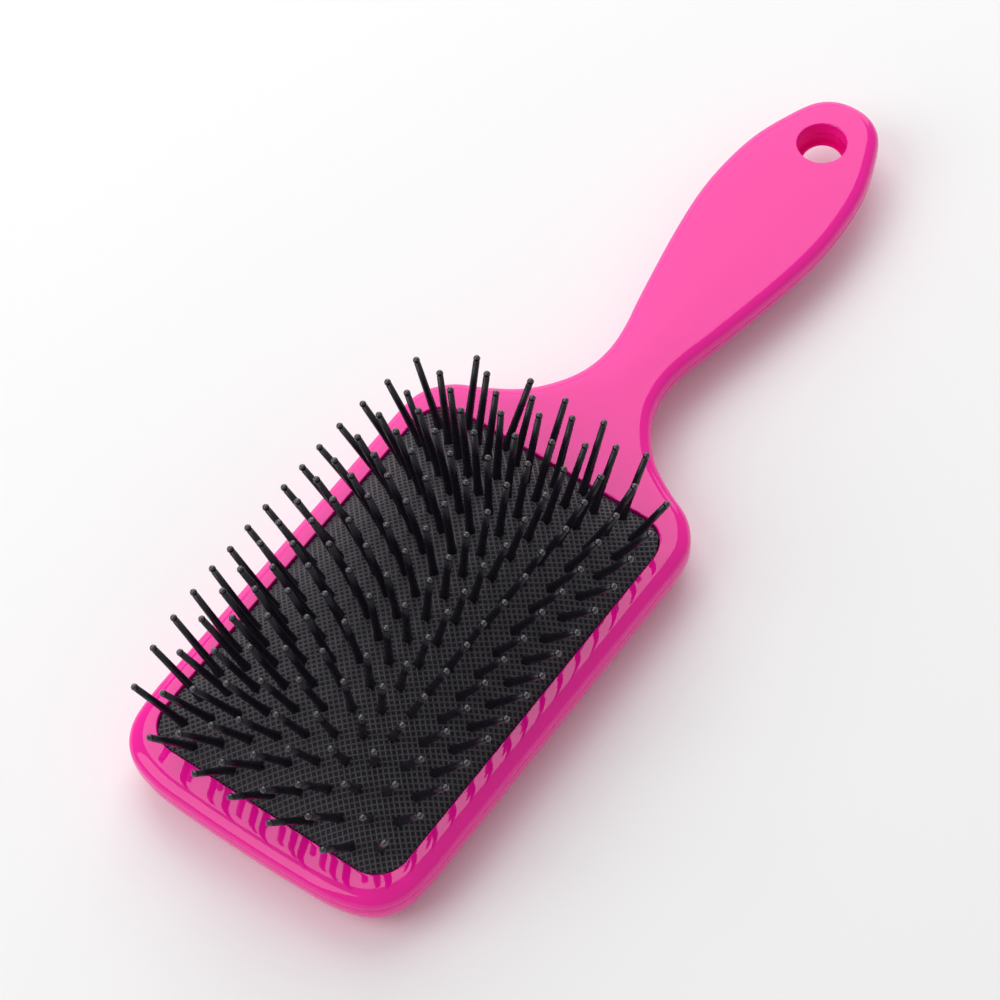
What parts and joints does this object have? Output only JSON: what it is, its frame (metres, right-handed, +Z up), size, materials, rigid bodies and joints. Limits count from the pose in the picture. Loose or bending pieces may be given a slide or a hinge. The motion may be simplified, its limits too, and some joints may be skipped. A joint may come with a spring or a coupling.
{
  "type": "paddle brush",
  "caption": "Paddle hair brush: flat head with a domed rubber air cushion carrying ball-tipped pins, and a flat tapered handle with a hanging hole.",
  "frame": {"origin": "centre of the bounding box at its lowest face, the flat back of the head, with the brush lying on its back", "axes": "+X across the brush, +Y along it from the head to the end of the handle, +Z up, the way the pins point"},
  "size_m": [0.0788, 0.2426, 0.0454],
  "materials": {
    "pink_shell": "high gloss hot pink ABS",
    "cushion_rubber": "black rubber with a raised woven grid",
    "pin_nylon": "gloss black nylon",
    "inner_plastic": "black moulded plastic, hidden inside"
  },
  "bodies": {
    "brush_body": {"front_shell": "pink_shell", "back_shell": "pink_shell", "clamp_frame": "inner_plastic", "chamber_floor": "inner_plastic", "cushion_pad": "cushion_rubber"},
    "pin_row_01": {"pin_row_01": "pin_nylon"},
    "pin_row_02": {"pin_row_02": "pin_nylon"},
    "pin_row_03": {"pin_row_03": "pin_nylon"},
    "pin_row_04": {"pin_row_04": "pin_nylon"},
    "pin_row_05": {"pin_row_05": "pin_nylon"},
    "pin_row_06": {"pin_row_06": "pin_nylon"},
    "pin_row_07": {"pin_row_07": "pin_nylon"},
    "pin_row_08": {"pin_row_08": "pin_nylon"},
    "pin_row_09": {"pin_row_09": "pin_nylon"},
    "pin_row_10": {"pin_row_10": "pin_nylon"},
    "pin_row_11": {"pin_row_11": "pin_nylon"},
    "pin_row_12": {"pin_row_12": "pin_nylon"},
    "pin_row_13": {"pin_row_13": "pin_nylon"},
    "pin_row_14": {"pin_row_14": "pin_nylon"},
    "pin_row_15": {"pin_row_15": "pin_nylon"},
    "pin_row_16": {"pin_row_16": "pin_nylon"},
    "pin_row_17": {"pin_row_17": "pin_nylon"},
    "pin_row_18": {"pin_row_18": "pin_nylon"},
    "pin_row_19": {"pin_row_19": "pin_nylon"},
    "pin_row_20": {"pin_row_20": "pin_nylon"},
    "pin_row_21": {"pin_row_21": "pin_nylon"},
    "pin_row_22": {"pin_row_22": "pin_nylon"},
    "pin_row_23": {"pin_row_23": "pin_nylon"},
    "pin_row_24": {"pin_row_24": "pin_nylon"},
    "pin_row_25": {"pin_row_25": "pin_nylon"},
    "pin_row_26": {"pin_row_26": "pin_nylon"},
    "pin_row_27": {"pin_row_27": "pin_nylon"},
    "pin_row_28": {"pin_row_28": "pin_nylon"},
    "pin_row_29": {"pin_row_29": "pin_nylon"},
    "pin_row_30": {"pin_row_30": "pin_nylon"},
    "pin_row_31": {"pin_row_31": "pin_nylon"}
  },
  "joints": [
    {"name": "row_01_press", "type": "slide", "parent": "brush_body", "child": "pin_row_01", "axis": [0, 0, -1], "range_m": [0, 0.00055], "stiffness_N_per_m": 120},
    {"name": "row_02_press", "type": "slide", "parent": "brush_body", "child": "pin_row_02", "axis": [0, 0, -1], "range_m": [0, 0.00108], "stiffness_N_per_m": 120},
    {"name": "row_03_press", "type": "slide", "parent": "brush_body", "child": "pin_row_03", "axis": [0, 0, -1], "range_m": [0, 0.00152], "stiffness_N_per_m": 120},
    {"name": "row_04_press", "type": "slide", "parent": "brush_body", "child": "pin_row_04", "axis": [0, 0, -1], "range_m": [0, 0.00188], "stiffness_N_per_m": 120},
    {"name": "row_05_press", "type": "slide", "parent": "brush_body", "child": "pin_row_05", "axis": [0, 0, -1], "range_m": [0, 0.00217], "stiffness_N_per_m": 120},
    {"name": "row_06_press", "type": "slide", "parent": "brush_body", "child": "pin_row_06", "axis": [0, 0, -1], "range_m": [0, 0.00241], "stiffness_N_per_m": 120},
    {"name": "row_07_press", "type": "slide", "parent": "brush_body", "child": "pin_row_07", "axis": [0, 0, -1], "range_m": [0, 0.00259], "stiffness_N_per_m": 120},
    {"name": "row_08_press", "type": "slide", "parent": "brush_body", "child": "pin_row_08", "axis": [0, 0, -1], "range_m": [0, 0.00273], "stiffness_N_per_m": 120},
    {"name": "row_09_press", "type": "slide", "parent": "brush_body", "child": "pin_row_09", "axis": [0, 0, -1], "range_m": [0, 0.00283], "stiffness_N_per_m": 120},
    {"name": "row_10_press", "type": "slide", "parent": "brush_body", "child": "pin_row_10", "axis": [0, 0, -1], "range_m": [0, 0.0029], "stiffness_N_per_m": 120},
    {"name": "row_11_press", "type": "slide", "parent": "brush_body", "child": "pin_row_11", "axis": [0, 0, -1], "range_m": [0, 0.00295], "stiffness_N_per_m": 120},
    {"name": "row_12_press", "type": "slide", "parent": "brush_body", "child": "pin_row_12", "axis": [0, 0, -1], "range_m": [0, 0.00298], "stiffness_N_per_m": 120},
    {"name": "row_13_press", "type": "slide", "parent": "brush_body", "child": "pin_row_13", "axis": [0, 0, -1], "range_m": [0, 0.00299], "stiffness_N_per_m": 120},
    {"name": "row_14_press", "type": "slide", "parent": "brush_body", "child": "pin_row_14", "axis": [0, 0, -1], "range_m": [0, 0.003], "stiffness_N_per_m": 120},
    {"name": "row_15_press", "type": "slide", "parent": "brush_body", "child": "pin_row_15", "axis": [0, 0, -1], "range_m": [0, 0.003], "stiffness_N_per_m": 120},
    {"name": "cushion_press", "type": "slide", "parent": "brush_body", "child": "pin_row_16", "axis": [0, 0, -1], "range_m": [0, 0.003], "stiffness_N_per_m": 120, "deforming": ["cushion_pad"]},
    {"name": "row_17_press", "type": "slide", "parent": "brush_body", "child": "pin_row_17", "axis": [0, 0, -1], "range_m": [0, 0.003], "stiffness_N_per_m": 120},
    {"name": "row_18_press", "type": "slide", "parent": "brush_body", "child": "pin_row_18", "axis": [0, 0, -1], "range_m": [0, 0.003], "stiffness_N_per_m": 120},
    {"name": "row_19_press", "type": "slide", "parent": "brush_body", "child": "pin_row_19", "axis": [0, 0, -1], "range_m": [0, 0.00299], "stiffness_N_per_m": 120},
    {"name": "row_20_press", "type": "slide", "parent": "brush_body", "child": "pin_row_20", "axis": [0, 0, -1], "range_m": [0, 0.00298], "stiffness_N_per_m": 120},
    {"name": "row_21_press", "type": "slide", "parent": "brush_body", "child": "pin_row_21", "axis": [0, 0, -1], "range_m": [0, 0.00295], "stiffness_N_per_m": 120},
    {"name": "row_22_press", "type": "slide", "parent": "brush_body", "child": "pin_row_22", "axis": [0, 0, -1], "range_m": [0, 0.0029], "stiffness_N_per_m": 120},
    {"name": "row_23_press", "type": "slide", "parent": "brush_body", "child": "pin_row_23", "axis": [0, 0, -1], "range_m": [0, 0.00283], "stiffness_N_per_m": 120},
    {"name": "row_24_press", "type": "slide", "parent": "brush_body", "child": "pin_row_24", "axis": [0, 0, -1], "range_m": [0, 0.00273], "stiffness_N_per_m": 120},
    {"name": "row_25_press", "type": "slide", "parent": "brush_body", "child": "pin_row_25", "axis": [0, 0, -1], "range_m": [0, 0.00259], "stiffness_N_per_m": 120},
    {"name": "row_26_press", "type": "slide", "parent": "brush_body", "child": "pin_row_26", "axis": [0, 0, -1], "range_m": [0, 0.00241], "stiffness_N_per_m": 120},
    {"name": "row_27_press", "type": "slide", "parent": "brush_body", "child": "pin_row_27", "axis": [0, 0, -1], "range_m": [0, 0.00217], "stiffness_N_per_m": 120},
    {"name": "row_28_press", "type": "slide", "parent": "brush_body", "child": "pin_row_28", "axis": [0, 0, -1], "range_m": [0, 0.00188], "stiffness_N_per_m": 120},
    {"name": "row_29_press", "type": "slide", "parent": "brush_body", "child": "pin_row_29", "axis": [0, 0, -1], "range_m": [0, 0.00152], "stiffness_N_per_m": 120},
    {"name": "row_30_press", "type": "slide", "parent": "brush_body", "child": "pin_row_30", "axis": [0, 0, -1], "range_m": [0, 0.00108], "stiffness_N_per_m": 120},
    {"name": "row_31_press", "type": "slide", "parent": "brush_body", "child": "pin_row_31", "axis": [0, 0, -1], "range_m": [0, 0.00055], "stiffness_N_per_m": 120}
  ],
  "couplings": [
    {"joint": "row_01_press", "follows": "cushion_press", "ratio": 0.183},
    {"joint": "row_02_press", "follows": "cushion_press", "ratio": 0.3583},
    {"joint": "row_03_press", "follows": "cushion_press", "ratio": 0.5049},
    {"joint": "row_04_press", "follows": "cushion_press", "ratio": 0.6258},
    {"joint": "row_05_press", "follows": "cushion_press", "ratio": 0.7241},
    {"joint": "row_06_press", "follows": "cushion_press", "ratio": 0.8023},
    {"joint": "row_07_press", "follows": "cushion_press", "ratio": 0.8633},
    {"joint": "row_08_press", "follows": "cushion_press", "ratio": 0.9095},
    {"joint": "row_09_press", "follows": "cushion_press", "ratio": 0.9433},
    {"joint": "row_10_press", "follows": "cushion_press", "ratio": 0.9669},
    {"joint": "row_11_press", "follows": "cushion_press", "ratio": 0.9825},
    {"joint": "row_12_press", "follows": "cushion_press", "ratio": 0.992},
    {"joint": "row_13_press", "follows": "cushion_press", "ratio": 0.9971},
    {"joint": "row_14_press", "follows": "cushion_press", "ratio": 0.9993},
    {"joint": "row_15_press", "follows": "cushion_press", "ratio": 0.9999},
    {"joint": "row_17_press", "follows": "cushion_press", "ratio": 0.9999},
    {"joint": "row_18_press", "follows": "cushion_press", "ratio": 0.9993},
    {"joint": "row_19_press", "follows": "cushion_press", "ratio": 0.9971},
    {"joint": "row_20_press", "follows": "cushion_press", "ratio": 0.992},
    {"joint": "row_21_press", "follows": "cushion_press", "ratio": 0.9825},
    {"joint": "row_22_press", "follows": "cushion_press", "ratio": 0.9669},
    {"joint": "row_23_press", "follows": "cushion_press", "ratio": 0.9433},
    {"joint": "row_24_press", "follows": "cushion_press", "ratio": 0.9095},
    {"joint": "row_25_press", "follows": "cushion_press", "ratio": 0.8633},
    {"joint": "row_26_press", "follows": "cushion_press", "ratio": 0.8023},
    {"joint": "row_27_press", "follows": "cushion_press", "ratio": 0.7241},
    {"joint": "row_28_press", "follows": "cushion_press", "ratio": 0.6258},
    {"joint": "row_29_press", "follows": "cushion_press", "ratio": 0.5049},
    {"joint": "row_30_press", "follows": "cushion_press", "ratio": 0.3583},
    {"joint": "row_31_press", "follows": "cushion_press", "ratio": 0.183}
  ]
}
